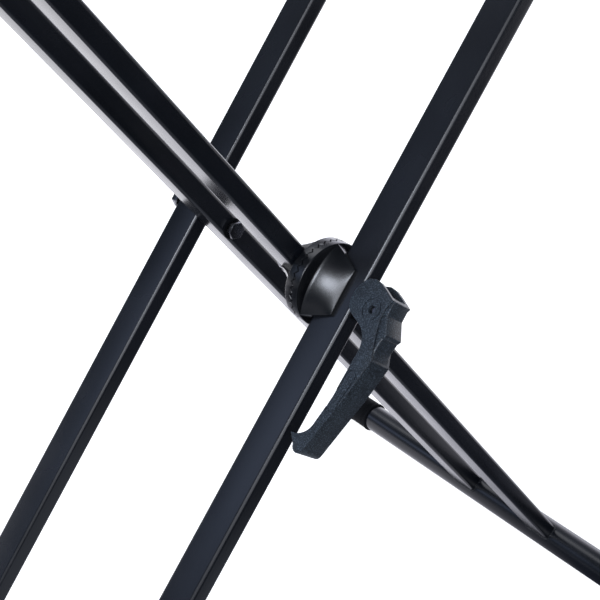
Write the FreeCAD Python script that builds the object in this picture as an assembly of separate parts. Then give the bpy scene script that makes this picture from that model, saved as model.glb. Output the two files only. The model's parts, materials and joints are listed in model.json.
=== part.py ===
"""Folding keyboard stand: two braced frames crossing in an X, joined by a toothed clutch and a cam lever.

Frame of the model: millimetres, +Z up, floor at z = 0, +Y from the lever side to the far side.
Each frame is first built in its own leg coordinates: x along the legs, y across the stand,
z square to the legs in the plane of the X, with the pivot axis at x = z = 0.
"""
import FreeCAD, Part
import os
import math
from FreeCAD import Vector

# ---- legs ----
leg_angle = 52.13            # between a leg and the floor, degrees
leg_reach = 545.0            # pivot axis to the axis of a foot or arm tube
leg_width = 30.0             # across the stand
leg_depth = 15.0             # in the plane of the X
leg_wall = 1.5
leg_corner = 2.0
leg_inner_corner = 0.5
outer_leg_offset = 96.5      # middle plane of the stand to the middle of an outer leg
weld_gap = 0.1               # leg end to the round tube that it is welded to

# ---- foot and arm tubes ----
cross_tube_r = 15.5
cross_tube_wall = 1.5
foot_tube_length = 510.0
arm_tube_length = 430.0

# ---- rubber end caps ----
cap_wall = 1.6
cap_lip = 0.5                # how far the lip and the end rim stand above the cap's wall
cap_lip_width = 3.0
cap_length = 35.0
cap_end = 5.0
cap_edge = 1.5
cap_flat = 0.6               # depth of the flat that a foot cap stands on
rubber_fit = 0.05            # a rubber piece to the tube inside it

# ---- rubber sleeves on the arms ----
sleeve_wall = 3.0
sleeve_length = 62.0
sleeve_cap_gap = 0.3

# ---- clutch castings ----
disc_r = 33.0
disc_thickness = 6.85
disc_edge = 0.6
outer_floor = 3.6            # casting between the near outer leg and its disc
inner_floor = 1.6            # casting between its disc and the near inner leg
ear_height = 19.6            # ear above the disc's face
ear_foot_half = 29.0         # half the ear's length along the leg, at the disc
ear_top_half = 18.2          # the same at the ear's free edge
ear_foot_reach = 21.9        # ear's outer face from the leg's middle, at the disc
ear_foot_sag = 5.6           # how far that arc falls back at the ear's ends
ear_mid_reach = 16.6         # the same half way up
ear_mid_sag = 2.2
ear_top_wall = 1.6           # ear beside the leg at its free edge
ear_top_sag = 0.2
ear_seat = 0.1               # ear to the leg's side
tooth_count = 36
tooth_depth = 1.2
tooth_tip_gap = 0.2          # between the two rings of teeth, so that they pass
tooth_land = 0.08            # share of the pitch left flat at a crest
tooth_ring_inner_r = 23.5
ring_recess = 2.5            # face inside the ring of teeth lies this deep
spring_pocket_r = 10.0
spring_pocket_depth = 5.5

# ---- draw bolt, its pin, washer and nut ----
bolt_r = 4.0
bolt_slide = 0.2             # bolt to the holes that it slides in
eye_r = 9.5
eye_width = 9.6
pin_r = 3.0
pin_fit = 0.05
pad_thickness = 2.0
pad_length = 26.0
pad_width = 14.0
pad_gap = 0.1                # closed cam to the pad
nut_af = 13.0
nut_height = 8.0
washer_r = 9.0
washer_thickness = 1.6
washer_gap = 0.1
bolt_tail = 3.0              # thread that shows past a nut
bush_wall = 2.0
bush_fit = 0.05
bush_flange = 1.0
bush_flange_r = 9.0

# ---- release spring ----
spring_wire_r = 0.9
spring_coil_r = 7.2
spring_turns = 3.5
spring_end_gap = 0.1

# ---- far pivot ----
release_travel = 3.2         # how far the lever lets the clutch open
shoulder_r = 5.0
far_leg_gap = 6.8            # far inner leg to far outer leg
far_play = 0.2               # left at the collar when the clutch is open
bolt_head_height = 5.3
collar_r = 8.0

# ---- cam lever ----
cam_r = 16.47
cam_offset_x = -2.4          # cam's centre from the lever pin
cam_offset_y = 0.88
fork_slot = 10.4
slot_side = 4.8              # slot's closed side from the bolt's axis
slot_floor_r = 10.0
core_half = 7.8              # half the width that carries the cam
cheek_half = 11.0            # half the lever's full width
bulge_half = 9.2
knock_out_r = 1.8
pin_cover = 2.5              # lever left beside the blind end of the pin

# Lever outlines in (x along the leg, y), measured from the lever pin; +y is toward the leg.
crown_start = (17.8, 13.4)
crown_middle = (6.2, 20.0)
crown_end = (-6.5, 19.0)
neck_start = (-12.3, 4.9)
neck_middle = (-19.6, -4.0)
neck_end = (-31.0, -7.8)
grip_inner = (-70.0, -7.3)
hook_start = (-92.0, -3.8)
hook_middle = (-99.6, -0.3)
hook_tip = (-104.7, 11.3)
nose_start = (-108.3, 5.7)
nose_middle = (-114.2, -3.0)
nose_end = (-110.0, -8.7)
grip_outer = (-32.3, -21.1)
ridge_points = [(-17.8, -16.6), (-8.8, -13.8), (3.9, -12.2), (13.0, -13.0)]
head_side = [(17.4, -4.5), (18.9, 4.5)]
bulge_points = [(12.4, -13.1), (1.6, -12.4), (-11.5, -20.9), (-17.7, -19.7), (-31.5, -21.6),
                (-36.0, -20.2), (-28.0, -10.0), (10.0, -7.0)]

# ---- places worked out from the sizes above ----
cross_axis_r = cross_tube_r + rubber_fit + cap_wall + cap_lip
pivot_height = cross_axis_r - cap_flat + leg_reach * math.sin(math.radians(leg_angle))
outer_near_y = -outer_leg_offset
outer_far_y = outer_leg_offset
disc_outer_y = outer_near_y + leg_width / 2 + outer_floor
clutch_mid_y = disc_outer_y + disc_thickness
inner_near_y = clutch_mid_y + disc_thickness + inner_floor + leg_width / 2
inner_far_y = outer_far_y - leg_width - far_leg_gap
pad_top_y = outer_near_y - leg_width / 2 - pad_thickness
pin_y = pad_top_y - pad_gap - cam_offset_y - cam_r
bush_r = bolt_r + bush_wall
shoulder_bush_r = shoulder_r + bush_wall
ORIGIN = Vector(0, 0, 0)
ALONG_Y = Vector(0, 1, 0)
ALONG_Z = Vector(0, 0, 1)


def box(x0, x1, y0, y1, z0, z1):
    return Part.makeBox(x1 - x0, y1 - y0, z1 - z0, Vector(x0, y0, z0))


def rod(radius, y0, y1, x=0.0):
    """Cylinder along Y between two y values."""
    return Part.makeCylinder(radius, y1 - y0, Vector(x, y0, 0), ALONG_Y)


def ring(outer, inner, y0, y1, x=0.0):
    return rod(outer, y0, y1, x).cut(rod(inner, y0 - 1, y1 + 1, x))


def hexagon(across_flats, y0, y1):
    corner = across_flats / math.sqrt(3)
    points = [Vector(corner * math.cos(math.radians(60 * i)), y0, corner * math.sin(math.radians(60 * i)))
              for i in range(7)]
    prism = Part.Face(Part.makePolygon(points)).extrude(Vector(0, y1 - y0, 0))
    crown = Part.makeCone(corner + 1.2 * (y1 - y0), corner - 0.4, y1 - y0, Vector(0, y0, 0), ALONG_Y)
    return prism.common(crown)


def placed(shape, frame):
    """Leg coordinates to the stand's: the outer frame leans one way, the inner frame the other."""
    turned = shape.copy()
    turned.rotate(ORIGIN, ALONG_Y, -leg_angle if frame == "outer" else leg_angle)
    turned.translate(Vector(0, 0, pivot_height))
    return turned


def leg(middle_y):
    """Rectangular tube from one round tube to the other, its ends cut to their curve."""
    def bar(half_width, half_depth, corner):
        solid = box(-leg_reach, leg_reach, middle_y - half_width, middle_y + half_width,
                    -half_depth, half_depth)
        long_edges = [edge for edge in solid.Edges if edge.Length > leg_reach]
        return solid.makeFillet(corner, long_edges)

    tube = bar(leg_width / 2, leg_depth / 2, leg_corner)
    tube = tube.cut(bar(leg_width / 2 - leg_wall, leg_depth / 2 - leg_wall, leg_inner_corner))
    for x in (-leg_reach, leg_reach):
        tube = tube.cut(rod(cross_tube_r + weld_gap, middle_y - leg_width, middle_y + leg_width, x))
    return tube


def cross_tube(x, length):
    return ring(cross_tube_r, cross_tube_r - cross_tube_wall, -length / 2, length / 2, x)


def cap(x, length, side):
    """Rubber cup over a tube's end, with a lip at its mouth and a rim at its end."""
    wall_r = cross_tube_r + rubber_fit + cap_wall
    end_y = length / 2 + cap_end
    mouth_y = end_y - cap_length
    body = rod(wall_r, mouth_y, end_y, x)
    rim = rod(cross_axis_r, end_y - 2 * cap_lip_width, end_y, x)
    rim = rim.makeFillet(cap_edge, [edge for edge in rim.Edges if edge.BoundBox.YMin > end_y - 0.1
                                    and edge.Length > cross_axis_r])
    lip = rod(cross_axis_r, mouth_y, mouth_y + cap_lip_width, x)
    bore = rod(cross_tube_r + rubber_fit, mouth_y - 1, length / 2, x)
    whole = body.cut(rod(cross_axis_r + 1, end_y - cap_lip_width, end_y + 1, x)).fuse([rim, lip]).cut(bore)
    whole = whole.removeSplitter()
    return whole if side > 0 else whole.mirror(ORIGIN, ALONG_Y)


def sleeve(x, side):
    cap_mouth = arm_tube_length / 2 + cap_end - cap_length
    tube = ring(cross_tube_r + rubber_fit + sleeve_wall, cross_tube_r + rubber_fit,
                cap_mouth - sleeve_cap_gap - sleeve_length, cap_mouth - sleeve_cap_gap, x)
    return tube if side > 0 else tube.mirror(ORIGIN, ALONG_Y)


def ear_section(y, half, reach, sag):
    """Closed outline of the pair of ears at one height: two arcs and two straight ends."""
    def side(sign):
        return Part.Arc(Vector(-sign * half, y, sign * (reach - sag)), Vector(0, y, sign * reach),
                        Vector(sign * half, y, sign * (reach - sag))).toShape()

    ends = [Part.makeLine(Vector(sign * half, y, sign * (reach - sag)),
                          Vector(sign * half, y, -sign * (reach - sag))) for sign in (1, -1)]
    return Part.Wire([side(1), ends[0], side(-1), ends[1]])


def tooth_groove(angle):
    """Radial V groove in the face at y = 0, opening toward +y, tapering to the axis."""
    def section(radius):
        half = math.pi * radius / tooth_count * (1 - tooth_land)
        depth = tooth_depth * radius / disc_r
        rise = 0.1 * depth
        wide = half * 1.1
        corners = [Vector(radius, rise, -wide), Vector(radius, rise, wide), Vector(radius, -depth, 0)]
        return Part.makePolygon(corners + corners[:1])

    groove = Part.makeLoft([section(disc_r + 1), section(tooth_ring_inner_r - 1)], True, True)
    groove.rotate(ORIGIN, ALONG_Y, angle)
    return groove


def casting(floor, phase):
    """Toothed disc with two ears, built with its tooth tips at y = 0 and the leg on the -y side."""
    tip = -tooth_tip_gap / 2
    back = -disc_thickness
    leg_face = back - floor
    disc = rod(disc_r, back, tip)
    disc = disc.makeFillet(disc_edge, [edge for edge in disc.Edges if edge.BoundBox.YMax < back + 0.1
                                       and edge.Length > disc_r])
    sections = [ear_section(back + 0.5, ear_foot_half, ear_foot_reach, ear_foot_sag),
                ear_section(back - ear_height / 2, (ear_foot_half + ear_top_half) / 2,
                            ear_mid_reach, ear_mid_sag),
                ear_section(back - ear_height, ear_top_half, leg_depth / 2 + ear_seat + ear_top_wall,
                            ear_top_sag)]
    whole = disc.fuse(Part.makeLoft(sections, True, False))
    seat_half = leg_depth / 2 + ear_seat
    whole = whole.cut(box(-disc_r, disc_r, back - ear_height - 1, leg_face, -seat_half, seat_half))
    whole = whole.cut(rod(tooth_ring_inner_r, tip - ring_recess, 1))
    whole = whole.cut(rod(spring_pocket_r, tip - spring_pocket_depth, 1))
    pitch = 360.0 / tooth_count
    grooves = []
    for i in range(tooth_count):
        groove = tooth_groove((i + phase) * pitch)
        groove.translate(Vector(0, tip, 0))
        grooves.append(groove)
    return whole.cut(Part.makeCompound(grooves))


def outline(pieces):
    """Face in the lever's plane from straight (2 points) and round (3 points) pieces."""
    edges = []
    for piece in pieces:
        points = [Vector(x, y, 0) for x, y in piece]
        if len(points) == 3:
            edges.append(Part.Arc(*points).toShape())
        else:
            edges.append(Part.makeLine(*points))
    return Part.Face(Part.Wire(edges))


def slab(face, half_thickness):
    lower = face.copy()
    lower.translate(Vector(0, 0, -half_thickness))
    return lower.extrude(Vector(0, 0, 2 * half_thickness))


def chain(points):
    return [(start, end) for start, end in zip(points, points[1:])]


def cam_lever():
    """Lever with its pin hole at the origin: cam core, two wider cheeks, finger bulges, hooked grip."""
    rim = chain([nose_end, grip_outer] + ridge_points + head_side + [crown_start])
    grip = [(crown_start, crown_middle, crown_end), (crown_end, neck_start),
            (neck_start, neck_middle, neck_end), (neck_end, grip_inner), (grip_inner, hook_start),
            (hook_start, hook_middle, hook_tip), (hook_tip, nose_start),
            (nose_start, nose_middle, nose_end)]
    whole = slab(outline(grip + rim), cheek_half)
    reach = 2 * cam_r
    cam = Part.makeCylinder(cam_r, 2 * core_half, Vector(cam_offset_x, cam_offset_y, -core_half), ALONG_Z)
    front = box(-reach, reach, cam_offset_y, reach, -core_half, core_half)
    front = front.fuse(box(cam_offset_x + cam_r, reach, -reach, reach, -core_half, core_half))
    whole = whole.cut(front.cut(cam))
    bulges = slab(outline(chain(bulge_points + bulge_points[:1])), bulge_half)
    whole = whole.fuse(bulges)
    slot_half = fork_slot / 2
    slot = box(-slot_side, reach, -slot_floor_r, reach, -slot_half, slot_half)
    slot = slot.fuse(Part.makeCylinder(slot_floor_r, fork_slot, Vector(0, 0, -slot_half), ALONG_Z))
    blind = cheek_half - pin_cover
    hole = Part.makeCylinder(pin_r + pin_fit, blind + cheek_half + 1, Vector(0, 0, -cheek_half - 1), ALONG_Z)
    knock_out = Part.makeCylinder(knock_out_r, cheek_half + 1, ORIGIN, ALONG_Z)
    return whole.cut([slot, hole, knock_out])


def draw_bolt():
    """Bolt through the clutch, with an eye for the lever pin."""
    nut_end = inner_near_y + leg_width / 2 + bush_flange + 2 * washer_gap + washer_thickness + nut_height
    shank = rod(bolt_r, pin_y, nut_end + bolt_tail)
    eye = Part.makeCylinder(eye_r, eye_width, Vector(0, pin_y, -eye_width / 2), ALONG_Z)
    hole = Part.makeCylinder(pin_r + pin_fit, 2 * eye_width, Vector(0, pin_y, -eye_width), ALONG_Z)
    return shank.fuse(eye).cut(hole).removeSplitter()


def spring():
    """Round wire spring standing in the two pockets of the clutch."""
    depth = tooth_tip_gap / 2 + spring_pocket_depth
    height = 2 * (depth - spring_end_gap - spring_wire_r)
    helix = Part.makeHelix(height / spring_turns, height, spring_coil_r)
    start = Vector(spring_coil_r, 0, 0)
    section = Part.Wire([Part.makeCircle(spring_wire_r, start, ALONG_Y)])
    coil = Part.Wire(helix.Edges).makePipeShell([section], True, False)
    coil.rotate(ORIGIN, Vector(1, 0, 0), -90)
    coil.translate(Vector(0, clutch_mid_y - height / 2, 0))
    return coil


def outer_frame():
    nodes = {}
    near = leg(outer_near_y).cut(rod(bolt_r + bolt_slide, outer_near_y - leg_width, outer_near_y + leg_width))
    far = leg(outer_far_y).cut(rod(bolt_r + bolt_slide, outer_far_y - leg_width, outer_far_y + leg_width))
    nodes["outer_leg_near"] = near
    nodes["outer_leg_far"] = far
    nodes["outer_foot_tube"] = cross_tube(-leg_reach, foot_tube_length)
    nodes["outer_arm_tube"] = cross_tube(leg_reach, arm_tube_length)
    for name, side in (("near", -1), ("far", 1)):
        nodes["outer_foot_cap_" + name] = cap(-leg_reach, foot_tube_length, side)
        nodes["outer_arm_cap_" + name] = cap(leg_reach, arm_tube_length, side)
        nodes["outer_arm_sleeve_" + name] = sleeve(leg_reach, side)
    body = casting(outer_floor, 0.0).cut(rod(bolt_r + bolt_slide, -40, 1))
    body.translate(Vector(0, clutch_mid_y, 0))
    nodes["clutch_casting_outer"] = body
    pad = box(-pad_length / 2, pad_length / 2, pad_top_y, pad_top_y + pad_thickness,
              -pad_width / 2, pad_width / 2)
    nodes["cam_pad"] = pad.cut(rod(bolt_r + bolt_slide, pad_top_y - 1, outer_near_y))
    nodes["release_spring"] = spring()
    return nodes


def far_pivot():
    """Shoulder bolt clamped in the far outer leg; the far inner leg turns and slides on it."""
    head_y = inner_far_y - leg_width / 2 - bush_flange - washer_gap
    leg_near_y = outer_far_y - leg_width / 2
    leg_far_y = outer_far_y + leg_width / 2
    nut_y = leg_far_y + washer_thickness
    head = hexagon(nut_af, 0, bolt_head_height)
    head = head.mirror(ORIGIN, ALONG_Y)
    head.translate(Vector(0, head_y, 0))
    bolt = head.fuse([rod(shoulder_r, head_y - 1, leg_near_y),
                      rod(bolt_r, leg_near_y - 1, nut_y + nut_height + bolt_tail)]).removeSplitter()
    nut = hexagon(nut_af, 0, nut_height)
    nut.translate(Vector(0, nut_y, 0))
    collar_length = far_leg_gap - release_travel - far_play
    return {"far_pivot_bolt": bolt,
            "far_pivot_washer": ring(washer_r, bolt_r + bolt_slide, leg_far_y, nut_y),
            "far_pivot_nut": nut.cut(rod(bolt_r + bush_fit, nut_y - 1, nut_y + nut_height + 1)),
            "far_pivot_collar": ring(collar_r, shoulder_r + bolt_slide, leg_near_y - collar_length,
                                     leg_near_y)}


def inner_frame():
    nodes = {}
    near = leg(inner_near_y).cut(rod(bush_r + bush_fit, inner_near_y - leg_width, inner_near_y + leg_width))
    far = leg(inner_far_y).cut(rod(shoulder_bush_r + bush_fit, inner_far_y - leg_width,
                                   inner_far_y + leg_width))
    nodes["inner_leg_near"] = near
    nodes["inner_leg_far"] = far
    nodes["inner_foot_tube"] = cross_tube(leg_reach, foot_tube_length)
    nodes["inner_arm_tube"] = cross_tube(-leg_reach, arm_tube_length)
    for name, side in (("near", -1), ("far", 1)):
        nodes["inner_foot_cap_" + name] = cap(leg_reach, foot_tube_length, side)
        nodes["inner_arm_cap_" + name] = cap(-leg_reach, arm_tube_length, side)
        nodes["inner_arm_sleeve_" + name] = sleeve(-leg_reach, side)
    body = casting(inner_floor, 0.5).mirror(ORIGIN, ALONG_Y).cut(rod(bush_r + bush_fit, -1, 40))
    body.translate(Vector(0, clutch_mid_y, 0))
    nodes["clutch_casting_inner"] = body
    near_end = inner_near_y + leg_width / 2
    bush_start = clutch_mid_y + tooth_tip_gap / 2 + spring_pocket_depth
    bush = ring(bush_r, bolt_r + bush_fit, bush_start, near_end)
    nodes["near_pivot_bush"] = bush.fuse(ring(bush_flange_r, bolt_r + bush_fit, near_end,
                                              near_end + bush_flange)).removeSplitter()
    far_start = inner_far_y - leg_width / 2
    bush = ring(shoulder_bush_r, shoulder_r + bush_fit, far_start, far_start + leg_width)
    nodes["far_pivot_bush"] = bush.fuse(ring(bush_flange_r, shoulder_r + bush_fit, far_start - bush_flange,
                                             far_start)).removeSplitter()
    return nodes


def release_parts():
    """Draw bolt with its washer and nut, the lever pin and the lever."""
    washer_y = inner_near_y + leg_width / 2 + bush_flange + washer_gap
    nut_y = washer_y + washer_thickness + washer_gap
    nut = hexagon(nut_af, 0, nut_height)
    nut.translate(Vector(0, nut_y, 0))
    lever = cam_lever()
    lever.translate(Vector(0, pin_y, 0))
    pin_length = 2 * cheek_half - pin_cover - rubber_fit
    pin = Part.makeCylinder(pin_r, pin_length, Vector(0, pin_y, -cheek_half), ALONG_Z)
    return {"draw_bolt": draw_bolt(),
            "draw_washer": ring(washer_r, bolt_r + bush_fit, washer_y, washer_y + washer_thickness),
            "draw_nut": nut.cut(rod(bolt_r + bush_fit, nut_y - 1, nut_y + nut_height + 1)),
            "lever_pin": pin,
            "cam_lever": lever}


def stand():
    outer = {**outer_frame(), **far_pivot(), **release_parts()}
    shapes = {name: placed(shape, "outer") for name, shape in outer.items()}
    shapes.update({name: placed(shape, "inner") for name, shape in inner_frame().items()})
    below_floor = box(-2 * leg_reach, 2 * leg_reach, -leg_reach, leg_reach, -leg_reach, 0)
    for name in shapes:
        if "foot_cap" in name:
            shapes[name] = shapes[name].cut(below_floor)
    return shapes


os.makedirs("parts", exist_ok=True)
for node, shape in stand().items():
    shape.exportStep("parts/" + node + ".step")
    bounds = shape.BoundBox
    print(f"{node:26s} solids {len(shape.Solids)} valid {shape.isValid()} volume {shape.Volume:10.0f}"
          f"  y {bounds.YMin:8.2f} {bounds.YMax:8.2f}")
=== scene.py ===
"""Folding keyboard stand: its painted frames, toothed clutch, cam lever, rubber caps and studio."""
import json
import math
import bmesh
import bpy
from bpy.props import FloatProperty, FloatVectorProperty, IntProperty, PointerProperty
from mathutils import Matrix, Vector


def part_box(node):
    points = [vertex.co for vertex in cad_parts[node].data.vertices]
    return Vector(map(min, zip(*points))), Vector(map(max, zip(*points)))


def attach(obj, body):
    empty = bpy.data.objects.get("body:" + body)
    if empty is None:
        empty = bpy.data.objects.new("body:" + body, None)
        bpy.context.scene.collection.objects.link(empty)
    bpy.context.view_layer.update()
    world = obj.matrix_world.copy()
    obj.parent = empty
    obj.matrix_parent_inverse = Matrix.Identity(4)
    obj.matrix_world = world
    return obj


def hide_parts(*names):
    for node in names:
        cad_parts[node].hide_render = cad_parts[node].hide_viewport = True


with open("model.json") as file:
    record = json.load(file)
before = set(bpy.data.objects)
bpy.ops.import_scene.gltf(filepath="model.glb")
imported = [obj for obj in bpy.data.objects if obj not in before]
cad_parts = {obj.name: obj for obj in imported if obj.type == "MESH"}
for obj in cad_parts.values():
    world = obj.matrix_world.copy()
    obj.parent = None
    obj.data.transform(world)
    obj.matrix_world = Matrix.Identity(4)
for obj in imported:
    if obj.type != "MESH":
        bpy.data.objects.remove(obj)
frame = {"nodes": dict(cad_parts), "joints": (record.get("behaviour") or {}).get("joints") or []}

bl_info = {
    "name": "Folding keyboard stand",
    "version": (1, 0, 0),
    "blender": (4, 5, 0),
    "location": "View3D > Sidebar > Stand",
    "description": "Builds the visible pieces and finishes of a double braced folding stand",
    "category": "Object",
}

MM = 0.001

# ------------------------------------------------------------------ sizes
MERGE_DISTANCE = 1e-7
SOLID_MERGE_DISTANCE = 1e-6
POLE_R = 0.001 * MM
BEVEL_ANGLE = math.radians(28)
CORNER = 3.0 * MM
LEG_WALL = 1.5 * MM
LEG_INNER_CORNER = 0.5 * MM
LEG_DEPTH = {"outer": 15.4 * MM, "inner": 16.2 * MM}
# The photo shows no gap between the inner legs, so the far one is deeper.
EXTRA_DEPTH = {"inner_leg_far": 2.0 * MM}
LEG_HOLE_REACH = 40.0 * MM
WELD_GAP = 0.1 * MM
WELD_PROUD = 0.2 * MM
BEAD_SPACING = 0.85
BEAD_SEED = 4
TUBE_WALL = 1.5 * MM
RUBBER_FIT = 0.05 * MM
CAP_WALL = 1.6 * MM
CAP_LIP = 0.5 * MM
CAP_LIP_WIDTH = 3.0 * MM
CAP_LIP_ROUND = 0.5 * MM
CAP_GROOVE = 0.35 * MM
CAP_GROOVES_AT = (2.2 * MM, 4.4 * MM)
CAP_END_ROUND = 1.5 * MM
CAP_DISH = 0.6 * MM
SLEEVE_ROUND = 1.2 * MM
DISC_R = 33.0 * MM
DISC_THICKNESS = 6.85 * MM
DISC_EDGE = 0.9 * MM
EAR_HEIGHT = 19.6 * MM
EAR_RISE = 21.6 * MM
# An ear's half width at its foot and top, and its reach and sag at foot, middle and top.
EAR_HALF = (29.0 * MM, 18.2 * MM)
EAR_REACH = (21.9 * MM, 17.5 * MM, 11.2 * MM)
EAR_SAG = (6.4 * MM, 5.4 * MM, 0.8 * MM)
EAR_SEAT_Z = 7.6 * MM
EAR_FILLET = 0.8 * MM
CASTING_EDGE = 0.5 * MM
SADDLE_OVERLAP = 0.3 * MM
SADDLE_INSET = 1.0 * MM
SADDLE_HOLE_REACH = 20.0 * MM
TOOTH_CHAMFER = 0.5 * MM
TOOTH_LAND = 0.88
RING_INNER = 23.5 * MM
RING_RECESS = 3.0 * MM
FASTENER_EDGE = 0.45 * MM
BORE = 4.2 * MM
BUSH_BORE = 6.05 * MM
SHOULDER_BORE = 7.05 * MM


# ------------------------------------------------------------------ the stand's own directions
def joint(name):
    return next(j for j in frame["joints"] if j["name"] == name)


class Lean:
    """Leg coordinates of one frame: x along the legs, y across the stand, z square to both."""

    def __init__(self, inner):
        normal = Vector(joint("lever_open")["axis"]).normalized()
        along = Vector((normal.z, 0, -normal.x))
        if inner:
            along = Vector((along.x, 0, -along.z))
            normal = Vector((-normal.x, 0, normal.z))
        pivot = Vector(joint("fold")["pos_m"])
        self.along = along
        self.normal = normal
        self.pivot = pivot
        self.matrix = Matrix.Translation(pivot) @ Matrix((
            (along.x, 0, normal.x), (0, 1, 0), (along.z, 0, normal.z))).to_4x4()

    def distance(self, node):
        """Signed distance along the legs from the pivot to a round tube's axis."""
        low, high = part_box(node)
        middle = (low + high) / 2 - self.pivot
        return middle.dot(self.along)


OUTER = Lean(inner=False)
INNER = Lean(inner=True)


def span(node, axis):
    low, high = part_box(node)
    return low[axis], high[axis]


TUBE_R = (span("outer_foot_tube", 2)[1] - span("outer_foot_tube", 2)[0]) / 2
CLUTCH_BACK = span("outer_leg_near", 1)[1]
CLUTCH_FRONT = span("inner_leg_near", 1)[0]


# ------------------------------------------------------------------ meshes
def finished(name, mesh, matrix, material, body, nodes=(), smooth=30.0, bevel=0.0, cutters=(),
             engraved=()):
    """Puts a mesh in place, cuts, bevels and engraves it, ties it to its body and hides the solids it stands
    for.
    """
    mesh.transform(matrix)
    piece = bpy.data.objects.new(name, mesh)
    bpy.context.scene.collection.objects.link(piece)
    for cutter in cutters:
        cut_away(piece, cutter, matrix)
    if bevel:
        edge = piece.modifiers.new("edge", "BEVEL")
        edge.width = bevel
        edge.segments = 3
        edge.limit_method = "ANGLE"
        edge.angle_limit = BEVEL_ANGLE
        edge.harden_normals = False
        edge.use_clamp_overlap = True
        bake(piece)
    for cutter in engraved:
        cut_away(piece, cutter, matrix)
    piece.data.shade_smooth()
    piece.data.set_sharp_from_angle(angle=math.radians(smooth))
    piece.data.materials.clear()
    piece.data.materials.append(material)
    if nodes:
        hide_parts(*nodes)
    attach(piece, body)
    return piece


def cut_away(piece, cutter, matrix):
    """Takes a cutter, given in the piece's own drawing coordinates, out of the piece."""
    cutter.transform(matrix)
    tool = bpy.data.objects.new("cutter", cutter)
    bpy.context.scene.collection.objects.link(tool)
    cut = piece.modifiers.new("cut", "BOOLEAN")
    cut.object = tool
    cut.operation = "DIFFERENCE"
    cut.solver = "EXACT"
    bake(piece)
    bpy.data.objects.remove(tool)
    bpy.data.meshes.remove(cutter)


def bake(piece):
    """Turns a piece's modifiers into plain mesh."""
    bpy.context.view_layer.update()
    ready = piece.evaluated_get(bpy.context.evaluated_depsgraph_get())
    mesh = bpy.data.meshes.new_from_object(ready)
    piece.modifiers.clear()
    old = piece.data
    piece.data = mesh
    bpy.data.meshes.remove(old)


def mesh_of(verts, faces):
    mesh = bpy.data.meshes.new("piece")
    mesh.from_pydata([tuple(v) for v in verts], [], faces)
    tidy = bmesh.new()
    tidy.from_mesh(mesh)
    bmesh.ops.remove_doubles(tidy, verts=tidy.verts, dist=MERGE_DISTANCE)
    bmesh.ops.recalc_face_normals(tidy, faces=tidy.faces)
    tidy.to_mesh(mesh)
    tidy.free()
    return mesh


def joined(meshes):
    """One mesh from several."""
    whole = bmesh.new()
    for mesh in meshes:
        whole.from_mesh(mesh)
        bpy.data.meshes.remove(mesh)
    mesh = bpy.data.meshes.new("piece")
    whole.to_mesh(mesh)
    whole.free()
    return mesh


def loops_to_mesh(loops, close_rows=False, cap_ends=False):
    """Skin over closed loops of equal length, in order."""
    count = len(loops[0])
    verts = [point for loop in loops for point in loop]
    faces = []
    rows = len(loops)
    for row in range(rows if close_rows else rows - 1):
        after = (row + 1) % rows
        for i in range(count):
            j = (i + 1) % count
            faces.append((row * count + i, row * count + j, after * count + j, after * count + i))
    if cap_ends:
        faces.append(tuple(range(count)))
        faces.append(tuple((rows - 1) * count + i for i in range(count)))
    return mesh_of(verts, faces)


def turned(profile, x=0.0, steps=96, close=True):
    """Surface turned about an axis along Y from (y, radius) points."""
    angles = [2 * math.pi * i / steps for i in range(steps)]
    loops = []
    for y, radius in profile:
        radius = max(radius, POLE_R)
        loops.append([(x + radius * math.cos(angle), y, radius * math.sin(angle)) for angle in angles])
    return loops_to_mesh(loops, close_rows=close)


def arc_points(start, middle, end, steps):
    """Points along the circle through three points of a plane, ends included."""
    ax, ay = start
    bx, by = middle
    cx, cy = end
    double_area = 2 * (ax * (by - cy) + bx * (cy - ay) + cx * (ay - by))
    aa = ax * ax + ay * ay
    bb = bx * bx + by * by
    cc = cx * cx + cy * cy
    ux = (aa * (by - cy) + bb * (cy - ay) + cc * (ay - by)) / double_area
    uy = (aa * (cx - bx) + bb * (ax - cx) + cc * (bx - ax)) / double_area
    radius = math.hypot(ax - ux, ay - uy)
    first = math.atan2(ay - uy, ax - ux)
    through = math.atan2(by - uy, bx - ux)
    last = math.atan2(cy - uy, cx - ux)
    full = 2 * math.pi
    turn = (last - first) % full
    if (through - first) % full > turn:
        turn -= full
    angles = [first + turn * i / steps for i in range(steps + 1)]
    return [(ux + radius * math.cos(angle), uy + radius * math.sin(angle)) for angle in angles]


def rounded_rectangle(half_width, half_depth, corner, steps=6):
    """Closed loop of (y, z) points round a rectangle with quarter circle corners."""
    points = []
    for sy, sz, first in ((1, 1, 0), (-1, 1, 90), (-1, -1, 180), (1, -1, 270)):
        for i in range(steps + 1):
            angle = math.radians(first + 90 * i / steps)
            points.append((sy * (half_width - corner) + corner * math.cos(angle),
                           sz * (half_depth - corner) + corner * math.sin(angle)))
    return points


def rod_mesh(radius, y0, y1, steps=48):
    return turned([(y0, 0), (y0, radius), (y1, radius), (y1, 0)], steps=steps, close=False)


# ------------------------------------------------------------------ shader helpers
class Wire:
    """A shader socket that can stand in Python sums."""

    def __init__(self, tree, socket):
        self.tree = tree
        self.socket = socket

    def _math(self, operation, first, second):
        node = self.tree.nodes.new("ShaderNodeMath")
        node.operation = operation
        for value, socket in zip((first, second), node.inputs):
            put(self.tree, value, socket)
        return Wire(self.tree, node.outputs[0])

    def __add__(self, other):
        return self._math("ADD", self, other)

    def __radd__(self, other):
        return self._math("ADD", other, self)

    def __sub__(self, other):
        return self._math("SUBTRACT", self, other)

    def __rsub__(self, other):
        return self._math("SUBTRACT", other, self)

    def __mul__(self, other):
        return self._math("MULTIPLY", self, other)

    def __rmul__(self, other):
        return self._math("MULTIPLY", other, self)

    def __truediv__(self, other):
        return self._math("DIVIDE", self, other)

    def __rtruediv__(self, other):
        return self._math("DIVIDE", other, self)

    def __pow__(self, other):
        return self._math("POWER", self, other)


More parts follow.
